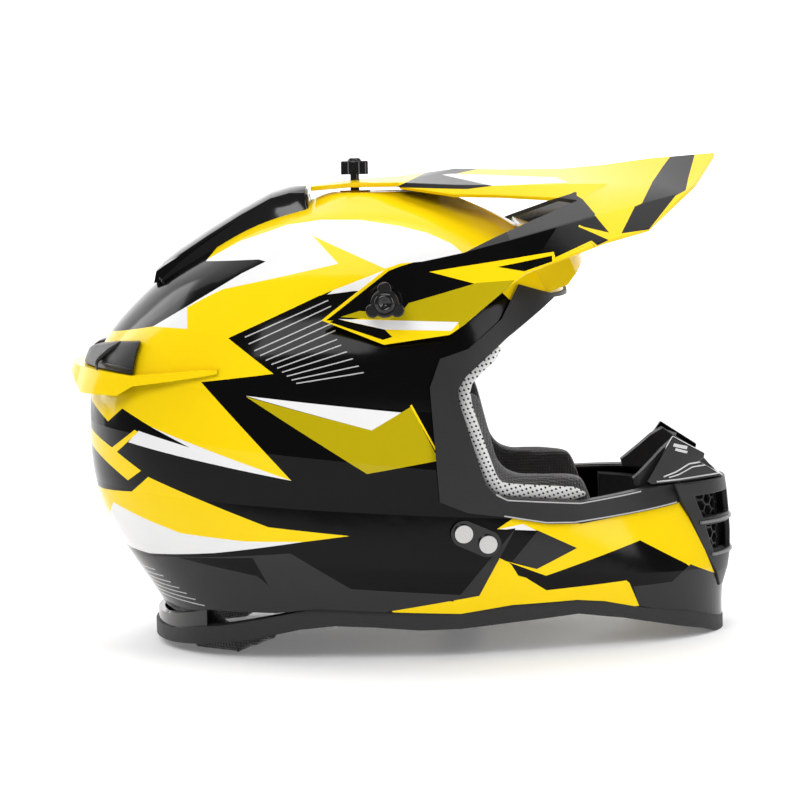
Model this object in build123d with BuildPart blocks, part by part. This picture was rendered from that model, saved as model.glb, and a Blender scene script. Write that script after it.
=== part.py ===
"""Motocross helmet: shell, eyeport trim, energy-absorbing liner, pads, chin strap, vents and tilting visor.

Frame: +X forward, +Y the rider's left, +Z up, millimetres. The origin is under the middle of the helmet,
on the plane that it stands on. The outlines below are drawn on a grid for one helmet size, and LENGTH, WIDTH
and HEIGHT stretch them; walls, gaps, fasteners and webbing keep their own sizes.
"""
from build123d import *
from functools import lru_cache
from math import copysign, cos, pi, sin
import os

# Overall sizes
LENGTH = 364.8              # rear ledge to chin vent
WIDTH = 238.0               # across the shell, without the visor knobs
HEIGHT = 247.0              # rest plane to the crown of the shell
GRID = (364.8, 238.0, 247.0)
SX = LENGTH / GRID[0]
SY = WIDTH / GRID[1]
SZ = HEIGHT / GRID[2]

# Walls and gaps
SHELL_WALL = 3.6
SEAT = 0.3                  # gap between a curved piece and what it lies on
RUNNING_FIT = 0.05          # radial clearance of a turning shank in its hole
TRIM_PROUD = 1.7            # eyeport trim over the shell
LIP = 2.2                   # eyeport trim's lip, across its edge
LIP_DEPTH = 2.4             # how far the lip turns in behind the shell wall
EPS_WALL = 27.0             # energy-absorbing liner
CROWN_PAD = 8.0             # comfort liner
CHIN_EPS_WALL = 11.0
CHEEK_CLEAR = 8.7           # room for the strap between the shell wall and a cheek pad
CHEEK_FACE_Y = 57.0         # inner face of a cheek pad, from the middle
SPINE_RISE = 6.5
SPINE_HALF = 26.0
LEDGE_REACH = 13.0          # rear ledge beyond the shell
BROW_REACH = 18.0           # brow beyond the shell
BROW_HALF = 62.0
LEDGE_ROOT = 1.5            # how deep the ledge and the spine are rooted in the wall
VENT_PROUD = 3.4            # vent pieces over the shell
REAR_VENT_REACH = 7.0
REAR_VENT_Y = (14.0, 84.0)
MESH_WALL = 1.4
CHIN_SLOT_HALF = 34.0
CHIN_MESH_HALF = 52.0
CHIN_WINDOW_Y = (9.0, 46.0)
CHIN_WINDOWS_Z = ((42.0, 61.0), (66.0, 77.0))
BROW_VENT_HALF = 24.0
BROW_VENT_PROUD = 0.8

# Neck edge
TRIM_BEAD = 8.6             # radial thickness of the rubber edge
EXHAUST_INSET = 1.5
EXHAUST_WALL_THICK = 3.5
NECK_PAD = 17.0             # radial thickness of the neck roll

# Visor and its screws
VISOR_WALL = 2.6
PIVOT = (-6.5, 192.4)       # side screws, x and z on the grid
SHELL_BOSS_R = 11.0
SHELL_BOSS_OUT = 110.0      # boss face, half-width on the grid
ARM_BOSS_R = 9.0
ARM_BOSS_OUT = 120.6
SHANK_R = 3.0
SIDE_HEAD = 12.0            # height of a side knob
SIDE_LOBE = 7.4
TOP_SCREW_X = -22.4
TOP_BOSS_R = 8.5
TOP_BOSS_Z = 248.2
TOP_SHANK_R = 2.5
TOP_KNOB_GAP = 2.4          # room for the tab to ride up as the visor tilts
TOP_HEAD = 7.5
TOP_LOBE = 5.6
SLOT_REAR = 10.5
SLOT_FRONT = 1.0
SLOT_SIDE = 0.5
TAB_TOP_Z = 254.6           # highest point of the visor tab round the top screw
LOBE_SHARE = 0.5
KNOB_ROUND = 0.8
INSERT_WALL = 1.6           # threaded brass insert round a shank
SHANK_IN_SHELL = 9.0

# Chin strap
STRAP_X = 39.0
STRAP_WIDTH = 20.0
STRAP_THICK = 1.6
STRAP_DROP = ((101.8, 74), (99.6, 44), (96, 37), (84, 29))
STRAP_LONG_END = ((-55, 21), (-15, 16), (20, 14), (32, 14.2), (34.8, 16.2), (43.3, 31), (54, 35.5))
STRAP_SHORT_END = ((62, 23.5), (53.2, 22.2))
RIVETS = ((32.4, 68.6), (45.2, 62.4))
RIVET_HEAD_R = 4.8
RIVET_HEAD = 2.2
RIVET_SHANK_R = 2.6
SNAP_PLACES = ((-26, 62), (-26, 122), (14, 112))
SNAP_STUD_R = 6.0
PLATE_LONG = 28.0
PLATE_SHORT = 14.5
PLATE_TILT = -25.8
PLATE_THICK = 2.6
HANGER_THICK = 1.6
RING_BAR = 3.2
RING_INNER = (24.0, 15.5)
RING_PIVOT_Y = 50.0
RING_Z = (18.9, 25.4)
RING_PLAY = 0.7
RING_CORNER = 6.0
STUD_R = 5.5
STUD_THICK = 1.8

# Sections of the form, bottom to top: height, rear, front, half-width, widest x, squareness
STATIONS = (
    (-6, -116, 176, 98, -12, 2.0),
    (10, -127, 178, 103, -14, 2.0),
    (28, -138, 179, 108, -16, 2.0),
    (48, -151, 178, 112.5, -18, 2.0),
    (74, -165.5, 166, 116.5, -19, 2.1),
    (98, -172, 150, 118.5, -19, 2.2),
    (122, -173, 133, 119, -19, 2.3),
    (148, -171, 113, 118.5, -19, 2.4),
    (172, -161, 97, 114, -19, 2.5),
    (190, -145, 93, 105.5, -19, 2.6),
    (203, -130, 89, 97, -19, 2.6),
    (214, -112, 82.5, 86, -19, 2.5),
    (226, -92, 69, 71, -19, 2.3),
    (236, -70, 51, 53.5, -17, 2.1),
    (243, -48, 35, 35, -14, 2.0),
    (247, -28, 12, 16, -11, 2.0),
)
WIDEST = STATIONS[6]
REAR_SQUARENESS = 2.15
SECTION_POINTS = 20

# Side outlines on the grid, x and z
FAR = 260
PORT = ((FAR, 189.5), (85, 189.5), (57.5, 170.5), (35, 151.5), (30.8, 145), (31.3, 138.5), (35.2, 125),
        (44.3, 94.5), (49.6, 88.7), (55.5, 86.5), (95, 82), (129, 85), (FAR, 85))
BAND = ((FAR, 191.5), (84, 191.5), (65, 198), (55, 180.5), (36.7, 166), (21.7, 161.5), (16, 146.5),
        (20, 86), (34.5, 79.6), (55, 76.3), (77, 71.5), (91.5, 70.6), (150.5, 75), (150.5, 90), (FAR, 90))
RIM = ((-FAR, 11), (-130, 19.2), (-105, 25.7), (-68, 26.3), (-47.5, 29), (-2.4, 26.4), (30, 24.5),
       (57.4, 28), (92.8, 28.5), (108, 26.5), (130, 20.5), (156.3, 15), (190, 2.7), (FAR, 2.7))
NECK_EDGE = ((-FAR, 12.2), (-127, 12.2), (-114, 15.4), (-98, 17.6), (-68, 24.3), (-47.5, 29), (-2.4, 26.4),
             (30, 24.5), (57.4, 28), (92.8, 28.5), (108, 26.5), (130, 20.5), (156.3, 15), (190, 2.7))
TRIM_FOOT = ((190, 0), (173, 0), (164, 4), (138.7, 11.1), (118.5, 16.3), (93.7, 20.7), (57.2, 18.3), (30, 16.2),
             (8, 16.2), (-16, 18.4), (-37, 19.4), (-55.6, 17.4), (-87.3, 10.2), (-106.5, 6.7), (-128, 4.4),
             (-FAR, 4.4))
CHIN_VENT = ((150.5, 80), (150.5, 75), (157.2, 74.3), (168.4, 43), (177.8, 25), (FAR, 25), (FAR, 84.4),
             (150.5, 84.4))
NOSE = ((148.7, 111.2), (167.6, 99.6), (167, 96.8), (164, 95.4), (166.2, 94.2), (179, 85.4), (136, 85.4),
        (133.3, 87.5), (134.4, 89.3))
NOSE_LIP = ((149, 108.5), (142.6, 104), (136.8, 98.5), (129.2, 91.7), (126, 89.2), (127, 85.4), (177, 85.4),
            (168, 96))
REAR_LEDGE = ((-184, 157.5), (-143.5, 153.5), (-104, 157.5), (-96, 157.5), (-96, 155.5), (-104, 154),
              (-143, 148), (-152.5, 142.5), (-174, 142.5), (-184, 156))
REAR_VENT = ((-182, 157.8), (-143.5, 153.8), (-141, 165.5), (-138.8, 171.5), (-153, 170.3), (-169, 166.3))
BROW = ((80, 192), (92, 196), (99, 205), (106, 214.5), (67, 229.5), (60, 214))
SPINE = ((-134, 200), (-131, 214), (-60, 262), (-48, 262), (-48, 240), (-92, 218), (-118, 206))
EPS = ((-FAR, 52), (-44, 52), (-44, 143.5), (24, 143.5), (31, 154), (54, 174), (81, 194), (FAR, 194),
       (FAR, FAR), (-FAR, FAR))
CROWN = ((-FAR, 92), (-50, 92), (-50, 147), (22, 147), (29, 157), (51, 177), (77, 197.5), (FAR, 197.5),
         (FAR, FAR), (-FAR, FAR))
CHEEK = ((-43.7, 42), (-43.7, 143.2), (24, 143.2), (37.5, 139), (42.5, 124), (51, 98), (60, 91.5), (96, 88),
         (103, 84), (108, 62), (100, 42))
CHIN_EPS = ((114, 32), (114, 79.5), (FAR, 79.5), (FAR, 22), (158, 19), (134, 25))
CHIN_SLOT = ((150, 46), (FAR, 46), (FAR, 70), (150, 70))
CHIN_MESH = ((150, 40), (FAR, 40), (FAR, 77), (150, 77))
BROW_VENT = ((84, 199), (84, 210), (FAR, 210), (FAR, 199))
EXHAUST_WALL = ((-150, 12.2), (-127, 12.2), (-114, 15.4), (-107, 16.4), (-107, 25.1), (-130, 19.1),
                (-150, 17.8))
NECK_ROLL = ((-150, 3), (-118, 0), (-90, 0), (-66, 10), (-66, 16.2), (-104, 16.2), (-104, 51.7), (-150, 51.7))

# Plan of the neck edge on the grid: rear, front, half-width, widest x
NECK_PLAN = (-139.5, 178.5, 106.0, -14.0)

# Plan of the nose guard on the grid, outer corners of the right half
NOSE_PLAN = ((180, 16), (152, 46), (131, 60))
NOSE_BACK = 100.0
NOSE_WALL = 4.5
LIP_WALL = 9.0

# Visor, outer surface of the right half on the grid: x, distance from the middle, z
DECK_MIDDLE = ((-47, 0, 251.4), (-25, 0, 254), (2, 0, 255.4), (34, 0, 259), (59, 0, 258), (91, 0, 257.5),
               (114, 0, 259), (142, 0, 262.2), (178, 0, 264.5))
FOLD_TOP = ((-47, 12, 251), (-25, 17, 252.6), (2, 30, 252.6), (33, 46, 251), (59, 50, 250.4),
            (91, 50, 250.2), (114, 49, 249.8), (142, 46, 249.3), (164, 42, 249.3))
DECK_EDGE = ((2, 32, 250.3), (31, 50, 246), (52, 54, 245.4), (89, 60, 243))
NOTCH = ((35.5, 111, 217), (52, 100, 224.2), (68, 89, 230.5), (98, 63, 241.6))
FOLD_SIDE = ((59, 106, 222.5), (85, 95, 228.6), (108, 86, 234), (129, 76, 238.8), (157, 60, 244.6))
ARM_TOP = ((-40, 119.5, 183.5), (-5, 117.5, 210), (2, 116.8, 212.3), (14, 115.5, 213))
EDGE_LOW = ((-7.5, 120.5, 170), (27, 120, 174.4), (34.6, 119.5, 179.3), (59, 114.5, 199),
            (68, 112, 205.6), (110, 99, 220.5), (135, 88, 226.6))


def section(station, inset=0.0, reach=0.0):
    """Height and plan points of one section, moved in by inset and stretched rearwards by reach."""
    z, rear, front, half, widest, square = station
    top = WIDEST[0] * SZ
    z, rear, front, half, widest = z * SZ, rear * SX - reach, front * SX, half * SY, widest * SX
    if z > top:
        rear_share = 1 - inset / ((WIDEST[4] - WIDEST[1]) * SX)
        z = top + (z - top) * (1 - inset / (HEIGHT - top))
        half = half * (1 - inset / (WIDEST[3] * SY))
        rear = widest + (rear - widest) * rear_share
        front = widest + (front - widest) * rear_share
    else:
        half, rear, front = half - inset, rear + inset, front - inset
    return z, plan_points(rear, front, half, widest, square)


def plan_points(rear, front, half, widest, square=2.0):
    """Points of an egg-shaped plan curve."""
    points = []
    for i in range(SECTION_POINTS):
        turn = 2 * pi * i / SECTION_POINTS
        power = 2 / (square if cos(turn) > 0 else REAR_SQUARENESS)
        end = front if cos(turn) > 0 else rear
        x = widest + (end - widest) * abs(cos(turn)) ** power
        points.append((x, half * copysign(abs(sin(turn)) ** power, sin(turn))))
    return points


@lru_cache
def form(inset, reach=0.0):
    """The helmet's solid form, inset from the outside of the shell, or larger where inset is negative."""
    with BuildPart() as solid:
        for station in STATIONS:
            z, points = section(station, inset, reach)
            with BuildSketch(Plane.XY.offset(z)):
                with BuildLine():
                    Spline(*points, periodic=True)
                make_face()
        loft()
    return solid.part


def layer(outer, inner, cutter, reach=0.0):
    """What a cutter takes out of the layer between two insets of the form."""
    with BuildPart() as piece:
        add(form(outer, reach))
        add(cutter, mode=Mode.INTERSECT)
        add(form(inner), mode=Mode.SUBTRACT)
    return piece.part


def side_prism(outline, low=-200.0, high=200.0, grow=0.0):
    """A side outline carried across the helmet from y = low to y = high."""
    with BuildPart() as prism:
        with BuildSketch(Plane.XZ.offset(-high)):
            with BuildLine():
                Polyline(*[(x * SX, z * SZ) for x, z in outline], close=True)
            make_face()
            if grow:
                offset(amount=grow, kind=Kind.INTERSECTION, mode=Mode.REPLACE)
        extrude(amount=high - low)
    return prism.part


def below(edge, foot=-60.0):
    """A side outline of all that lies below an edge."""
    return edge + ((FAR, foot), (-FAR, foot))


def above(edge, roof=FAR):
    """A side outline of all that lies above an edge."""
    return edge + ((edge[-1][0], roof), (edge[0][0], roof))


def mirrored(part):
    """The same piece on the other side of the helmet."""
    with BuildPart() as twin:
        mirror(part, about=Plane.XZ)
    return twin.part


def across(x, z, radius, low, high):
    """A round bar across the helmet, at a grid point, from y = low to y = high."""
    with BuildPart() as bar:
        with BuildSketch(Plane((x * SX, high, z * SZ), x_dir=(1, 0, 0), z_dir=(0, -1, 0))):
            Circle(radius)
        extrude(amount=high - low)
    return bar.part


def finish(part, label):
    """Name a finished piece and write its file."""
    part.label = label
    export_step(part, f"parts/{label}.step")


os.makedirs("parts", exist_ok=True)

pivot_face = SHELL_BOSS_OUT * SY
arm_face = ARM_BOSS_OUT * SY
screw_x = TOP_SCREW_X * SX
top_face = TOP_BOSS_Z * SZ
insert_r = SHANK_R + INSERT_WALL
top_insert_r = TOP_SHANK_R + INSERT_WALL

# Outer shell, with its spine, rear ledge, brow and screw bosses
spine = layer(-SPINE_RISE, LEDGE_ROOT, side_prism(SPINE, -SPINE_HALF, SPINE_HALF))
ledge = layer(0, LEDGE_ROOT, side_prism(REAR_LEDGE), LEDGE_REACH)
brow = layer(-BROW_REACH, LEDGE_ROOT, side_prism(BROW, -BROW_HALF, BROW_HALF))

with BuildPart() as outer_shell:
    add(form(0))
    add(spine)
    add(ledge)
    add(brow)
    add(across(*PIVOT, SHELL_BOSS_R, -pivot_face, pivot_face))
    with BuildSketch(Plane.XY.offset(top_face)):
        with Locations((screw_x, 0)):
            Circle(TOP_BOSS_R)
    extrude(amount=-TOP_BOSS_R)
    add(form(SHELL_WALL), mode=Mode.SUBTRACT)
    add(side_prism(below(RIM)), mode=Mode.SUBTRACT)
    add(side_prism(PORT, grow=LIP), mode=Mode.SUBTRACT)
    add(side_prism(CHIN_VENT), mode=Mode.SUBTRACT)
    add(side_prism(BROW_VENT, -BROW_VENT_HALF, BROW_VENT_HALF), mode=Mode.SUBTRACT)
    add(across(*PIVOT, insert_r, -WIDTH, WIDTH), mode=Mode.SUBTRACT)
    with BuildSketch(Plane.XY.offset(top_face)):
        with Locations((screw_x, 0)):
            Circle(top_insert_r)
    extrude(amount=-2 * TOP_BOSS_R, mode=Mode.SUBTRACT)
    for x, z in RIVETS:
        add(across(x, z, RIVET_SHANK_R + RUNNING_FIT, -WIDTH, WIDTH), mode=Mode.SUBTRACT)
finish(outer_shell.part, "outer_shell")

# Brass inserts that take the visor screws, one in each boss
with BuildPart() as screw_inserts:
    add(across(*PIVOT, insert_r, -pivot_face, -pivot_face + SHANK_IN_SHELL))
    add(across(*PIVOT, insert_r, pivot_face - SHANK_IN_SHELL, pivot_face))
    with BuildSketch(Plane.XY.offset(top_face)):
        with Locations((screw_x, 0)):
            Circle(top_insert_r)
    extrude(amount=-TOP_BOSS_R)
    add(across(*PIVOT, SHANK_R + RUNNING_FIT, -WIDTH, WIDTH), mode=Mode.SUBTRACT)
    with BuildSketch(Plane.XY.offset(top_face)):
        with Locations((screw_x, 0)):
            Circle(TOP_SHANK_R + RUNNING_FIT)
    extrude(amount=-2 * TOP_BOSS_R, mode=Mode.SUBTRACT)
finish(screw_inserts.part, "screw_inserts")

# Matte trim round the eyeport, a skin over the shell with a lip that turns in over its cut edge
with BuildPart() as band_frame:
    add(side_prism(BAND))
    add(side_prism(PORT), mode=Mode.SUBTRACT)

with BuildPart() as lip_frame:
    add(side_prism(PORT, grow=LIP - RUNNING_FIT))
    add(band_frame.part, mode=Mode.INTERSECT)

with BuildPart() as eyeport_trim:
    add(layer(-TRIM_PROUD, -SEAT, band_frame.part))
    add(layer(-TRIM_PROUD, SHELL_WALL + LIP_DEPTH, lip_frame.part))
finish(eyeport_trim.part, "eyeport_trim")

# Liner of expanded foam, and the comfort liner inside it
eps_outer = SHELL_WALL + SEAT
eps_inner = eps_outer + EPS_WALL
crown_outer = eps_inner + SEAT
insert_depth = pivot_face - SHANK_IN_SHELL
with BuildPart() as eps_liner:
    add(layer(eps_outer, eps_inner, side_prism(EPS)))
    add(across(*PIVOT, insert_r + SEAT, -WIDTH, -insert_depth + SEAT), mode=Mode.SUBTRACT)
    add(across(*PIVOT, insert_r + SEAT, insert_depth - SEAT, WIDTH), mode=Mode.SUBTRACT)
    with BuildSketch(Plane.XY.offset(top_face - TOP_BOSS_R - SEAT)):
        with Locations((screw_x, 0)):
            Circle(top_insert_r + SEAT)
    extrude(amount=TOP_BOSS_R, mode=Mode.SUBTRACT)
finish(eps_liner.part, "eps_liner")

with BuildPart() as comfort_liner:
    add(layer(crown_outer, crown_outer + CROWN_PAD, side_prism(CROWN)))
finish(comfort_liner.part, "comfort_liner")

# Cheek pads with a flat inner face, and the studs that snap them to the shell
with BuildPart() as cheek_pad_right:
    add(form(SHELL_WALL + CHEEK_CLEAR))
    add(side_prism(CHEEK, -WIDTH, -CHEEK_FACE_Y * SY), mode=Mode.INTERSECT)
finish(cheek_pad_right.part, "cheek_pad_right")

with BuildPart() as cheek_pad_left:
    add(mirrored(cheek_pad_right.part))
finish(cheek_pad_left.part, "cheek_pad_left")

with BuildPart() as cheek_studs:
    for x, z in SNAP_PLACES:
        stud_bar = across(x, z, SNAP_STUD_R, -WIDTH, WIDTH)
        add(layer(SHELL_WALL + SEAT, SHELL_WALL + CHEEK_CLEAR - SEAT, stud_bar))
finish(cheek_studs.part, "cheek_studs")

# Chin: foam behind the chin bar, vent mesh and vent frame
chin_outer = eps_outer + MESH_WALL + SEAT
with BuildPart() as chin_eps:
    add(layer(chin_outer, chin_outer + CHIN_EPS_WALL, side_prism(CHIN_EPS)))
    add(side_prism(CHIN_SLOT, -CHIN_SLOT_HALF, CHIN_SLOT_HALF), mode=Mode.SUBTRACT)
finish(chin_eps.part, "chin_eps")

with BuildPart() as chin_vent_mesh:
    add(layer(eps_outer, eps_outer + MESH_WALL, side_prism(CHIN_MESH, -CHIN_MESH_HALF, CHIN_MESH_HALF)))
finish(chin_vent_mesh.part, "chin_vent_mesh")

with BuildPart() as chin_vent_frame:
    add(layer(-VENT_PROUD, SHELL_WALL, side_prism(CHIN_VENT, grow=-SEAT)))
    with BuildSketch(Plane.YZ.offset(CHIN_VENT[0][0] * SX)):
        for low, high in CHIN_WINDOWS_Z:
            with Locations((sum(CHIN_WINDOW_Y) / 2, (low + high) / 2 * SZ),
                           (-sum(CHIN_WINDOW_Y) / 2, (low + high) / 2 * SZ)):
                Rectangle(CHIN_WINDOW_Y[1] - CHIN_WINDOW_Y[0], (high - low) * SZ)
    extrude(amount=LENGTH, mode=Mode.SUBTRACT)
finish(chin_vent_frame.part, "chin_vent_frame")

# Rear vents on the ledge, and the grille in the brow
with BuildPart() as rear_vent_right:
    vent_prism = side_prism(REAR_VENT, -REAR_VENT_Y[1], -REAR_VENT_Y[0])
    add(layer(0, -SEAT, vent_prism, REAR_VENT_REACH))
finish(rear_vent_right.part, "rear_vent_right")

with BuildPart() as rear_vent_left:
    add(mirrored(rear_vent_right.part))
finish(rear_vent_left.part, "rear_vent_left")

with BuildPart() as brow_vent:
    grille_prism = side_prism(BROW_VENT, -BROW_VENT_HALF, BROW_VENT_HALF, grow=-SEAT)
    add(layer(-BROW_VENT_PROUD, SHELL_WALL - SEAT, grille_prism))
finish(brow_vent.part, "brow_vent")


def neck_ring(inner, outer, outline):
    """Part of a ring that follows the neck edge in plan, between two distances inside it."""
    rear, front, half, widest = NECK_PLAN
    with BuildPart() as ring:
        with BuildSketch(Plane.XY):
            for inset, mode in ((outer, Mode.ADD), (inner, Mode.SUBTRACT)):
                with BuildLine():
                    Spline(*plan_points(rear * SX + inset, front * SX - inset, half * SY - inset, widest * SX),
                           periodic=True)
                make_face(mode=mode)
        extrude(amount=HEIGHT)
        add(side_prism(outline), mode=Mode.INTERSECT)
    return ring.part


# Neck: rubber edge, the wall between shell and edge at the rear, and the neck roll
with BuildPart() as neck_trim:
    add(neck_ring(TRIM_BEAD, 0, NECK_EDGE + TRIM_FOOT))
finish(neck_trim.part, "neck_trim")

with BuildPart() as rear_exhaust_wall:
    add(neck_ring(EXHAUST_INSET + EXHAUST_WALL_THICK, EXHAUST_INSET, EXHAUST_WALL))
finish(rear_exhaust_wall.part, "rear_exhaust_wall")

rim_room = tuple((x, z - SEAT) for x, z in RIM)
with BuildPart() as neck_roll:
    add(neck_ring(TRIM_BEAD + SEAT + NECK_PAD, TRIM_BEAD + SEAT, NECK_ROLL))
    add(layer(-NECK_PAD, eps_outer, side_prism(above(rim_room))), mode=Mode.SUBTRACT)
finish(neck_roll.part, "neck_roll")


def nose_band(inner, outer, outline):
    """Part of the pointed band round the nose, between two distances inside its plan."""
    right = [(x * SX, y * SY) for x, y in NOSE_PLAN]
    right.append((NOSE_BACK * SX, right[-1][1]))
    plan = right + [(x, -y) for x, y in reversed(right)]
    with BuildPart() as band:
        with BuildSketch(Plane.XY):
            for inset, mode in ((outer, Mode.ADD), (inner, Mode.SUBTRACT)):
                with BuildSketch(mode=Mode.PRIVATE) as outline_plan:
                    with BuildLine():
                        Polyline(*plan, close=True)
                    make_face()
                    if inset:
                        offset(amount=-inset, kind=Kind.INTERSECTION, mode=Mode.REPLACE)
                add(outline_plan.sketch, mode=mode)
        extrude(amount=HEIGHT)
        add(side_prism(outline), mode=Mode.INTERSECT)
    return band.part


# Nose guard: hard cover, and the soft lip behind it
with BuildPart() as nose_guard_cover:
    add(nose_band(NOSE_WALL, 0, NOSE))
finish(nose_guard_cover.part, "nose_guard_cover")

with BuildPart() as nose_guard_lip:
    add(nose_band(NOSE_WALL + SEAT + LIP_WALL, NOSE_WALL + SEAT, NOSE_LIP))
finish(nose_guard_lip.part, "nose_guard_lip")

# Strap plates outside the shell, hangers inside it, and the rivets through both
plate_middle = (sum(x for x, z in RIVETS) / len(RIVETS) * SX, sum(z for x, z in RIVETS) / len(RIVETS) * SZ)
with BuildPart() as plate_bar:
    with BuildSketch(Plane((plate_middle[0], 0, plate_middle[1]), x_dir=(1, 0, 0), z_dir=(0, -1, 0))):
        SlotOverall(PLATE_LONG, PLATE_SHORT, rotation=PLATE_TILT)
    extrude(amount=WIDTH)
    for x, z in RIVETS:
        add(across(x, z, RIVET_SHANK_R + RUNNING_FIT, -WIDTH, WIDTH), mode=Mode.SUBTRACT)

with BuildPart() as strap_plate_right:
    add(layer(-PLATE_THICK, -SEAT, plate_bar.part))
finish(strap_plate_right.part, "strap_plate_right")

with BuildPart() as strap_plate_left:
    add(mirrored(strap_plate_right.part))
finish(strap_plate_left.part, "strap_plate_left")

with BuildPart() as strap_hangers:
    add(layer(eps_outer, eps_outer + HANGER_THICK, plate_bar.part))
    mirror(about=Plane.XZ)
finish(strap_hangers.part, "strap_hangers")

rivet_top = -PLATE_THICK - RIVET_HEAD
with BuildPart() as strap_rivets:
    for x, z in RIVETS:
        add(layer(rivet_top, eps_outer + HANGER_THICK, across(x, z, RIVET_SHANK_R, -WIDTH, WIDTH)))
        add(layer(rivet_top, -PLATE_THICK - RUNNING_FIT, across(x, z, RIVET_HEAD_R, -WIDTH, WIDTH)))
finish(strap_rivets.part, "strap_rivets")


def webbing(points):
    """A run of strap that follows points in a plane across the helmet."""
    with BuildPart() as strap:
        with BuildSketch(Plane.YZ.offset((STRAP_X * SX) - STRAP_WIDTH / 2)):
            with BuildLine():
                Polyline(*points)
            trace(line_width=STRAP_THICK)
        extrude(amount=STRAP_WIDTH)
    return strap.part


# Chin strap: the long half runs through both rings, the short half holds them in its end loop
drop = [(y * SY, z * SZ) for y, z in STRAP_DROP]
with BuildPart() as chin_strap_right:
    add(webbing([(-y, z) for y, z in drop] + list(STRAP_LONG_END)))
finish(chin_strap_right.part, "chin_strap_right")

loop_middle = sum(RING_Z) / 2
loop_inner_y = RING_BAR + 2 * RING_PLAY
loop_inner_z = RING_Z[1] - RING_Z[0] + RING_BAR + 2 * RING_PLAY
with BuildPart() as chin_strap_left:
    add(webbing(drop + list(STRAP_SHORT_END)))
    with BuildSketch(Plane.YZ.offset(STRAP_X * SX - STRAP_WIDTH / 2)):
        with Locations((RING_PIVOT_Y, loop_middle)):
            Rectangle(loop_inner_y + 2 * STRAP_THICK, loop_inner_z + 2 * STRAP_THICK)
            Rectangle(loop_inner_y, loop_inner_z, mode=Mode.SUBTRACT)
    extrude(amount=STRAP_WIDTH)
finish(chin_strap_left.part, "chin_strap_left")

for label, ring_z in zip(("d_ring_lower", "d_ring_upper"), RING_Z):
    with BuildPart() as d_ring:
        with BuildSketch(Plane.XY.offset(ring_z - RING_BAR / 2)):
            with Locations((STRAP_X * SX, RING_PIVOT_Y - (RING_BAR + RING_INNER[1]) / 2)):
                RectangleRounded(RING_INNER[0] + 2 * RING_BAR, RING_INNER[1] + 2 * RING_BAR, RING_CORNER)
                RectangleRounded(*RING_INNER, RING_CORNER / 2, mode=Mode.SUBTRACT)
        extrude(amount=RING_BAR)
    finish(d_ring.part, label)

tail_start, tail_end = (Vector(0, y, z) for y, z in STRAP_LONG_END[-2:])
tail_normal = Vector(0, tail_start.Z - tail_end.Z, tail_end.Y - tail_start.Y).normalized()
stud_foot = (tail_start + tail_end) / 2 + tail_normal * (STRAP_THICK / 2 + RUNNING_FIT)
with BuildPart() as strap_stud:
    with BuildSketch(Plane((STRAP_X * SX, stud_foot.Y, stud_foot.Z), x_dir=(1, 0, 0), z_dir=tail_normal)):
        Circle(STUD_R)
    extrude(amount=STUD_THICK)
finish(strap_stud.part, "strap_stud")


def bridge(upper, lower):
    """Triangles between two rows of points, both from rear to front, facing out on the right side."""
    triangles = []
    i = j = 0
    while i < len(upper) - 1 or j < len(lower) - 1:
        upper_ends = i == len(upper) - 1
        lower_ends = j == len(lower) - 1
        if lower_ends or not upper_ends and (upper[i + 1] - lower[j]).length < (upper[i] - lower[j + 1]).length:
            triangles.append((upper[i], lower[j], upper[i + 1]))
            i += 1
        else:
            triangles.append((upper[i], lower[j], lower[j + 1]))
            j += 1
    return triangles


def key(point):
    """A point as plain numbers, to find it again."""
    return round(point.X, 3), round(point.Y, 3), round(point.Z, 3)


def thickened(triangles, wall):
    """A closed solid from an open sheet of triangles, thickened inwards."""
    normals = {}
    directed = {}
    for a, b, c in triangles:
        normal = (b - a).cross(c - a).normalized()
        for here, left, right in ((a, b, c), (b, c, a), (c, a, b)):
            weight = (left - here).get_angle(right - here)
            normals[key(here)] = normals.get(key(here), Vector(0, 0, 0)) + normal * weight
            directed[key(here), key(left)] = (here, left)
    inside = {}
    for a, b, c in triangles:
        for point in (a, b, c):
            inside[key(point)] = point - normals[key(point)].normalized() * wall
    faces = []
    for a, b, c in triangles:
        faces.append((a, b, c))
        faces.append((inside[key(a)], inside[key(c)], inside[key(b)]))
    for (start, end), (a, b) in directed.items():
        if (end, start) not in directed:
            faces.append((b, a, inside[start]))
            faces.append((b, inside[start], inside[end]))
    return Solid(Shell([Face(Wire.make_polygon(corners, close=True)) for corners in faces]))


def row(points):
    """A row of visor points on the right side."""
    return [Vector(x * SX, -y * SY, z * SZ) for x, y, z in points]


# Visor: deck, folded sides and arms from one sheet, with bosses at the side screws
middle, fold_top, deck_edge = row(DECK_MIDDLE), row(FOLD_TOP), row(DECK_EDGE)
notch, fold_side, arm_top, edge_low = row(NOTCH), row(FOLD_SIDE), row(ARM_TOP), row(EDGE_LOW)
right_half = bridge(middle, fold_top)
right_half += bridge(fold_top[2:6], deck_edge)
right_half += bridge(fold_top[5:], deck_edge[-1:] + notch[-1:] + fold_side[2:])
right_half += bridge(notch, fold_side[:3])
right_half += bridge(arm_top + notch[:1] + fold_side, edge_low)
left_half = [[Vector(p.X, -p.Y, p.Z) for p in (a, c, b)] for a, b, c in right_half]
with BuildPart() as visor:
    add(thickened(right_half + left_half, VISOR_WALL))
    add(across(*PIVOT, ARM_BOSS_R, -arm_face, -pivot_face - SEAT))
    add(across(*PIVOT, ARM_BOSS_R, pivot_face + SEAT, arm_face))
    add(across(*PIVOT, SHANK_R + RUNNING_FIT, -WIDTH, WIDTH), mode=Mode.SUBTRACT)
    with BuildSketch(Plane.XY.offset(top_face)):
        with Locations((screw_x + (SLOT_FRONT - SLOT_REAR) / 2, 0)):
            SlotCenterToCenter(SLOT_REAR + SLOT_FRONT, 2 * (TOP_SHANK_R + SLOT_SIDE))
    extrude(amount=HEIGHT / 2, mode=Mode.SUBTRACT)
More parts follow.
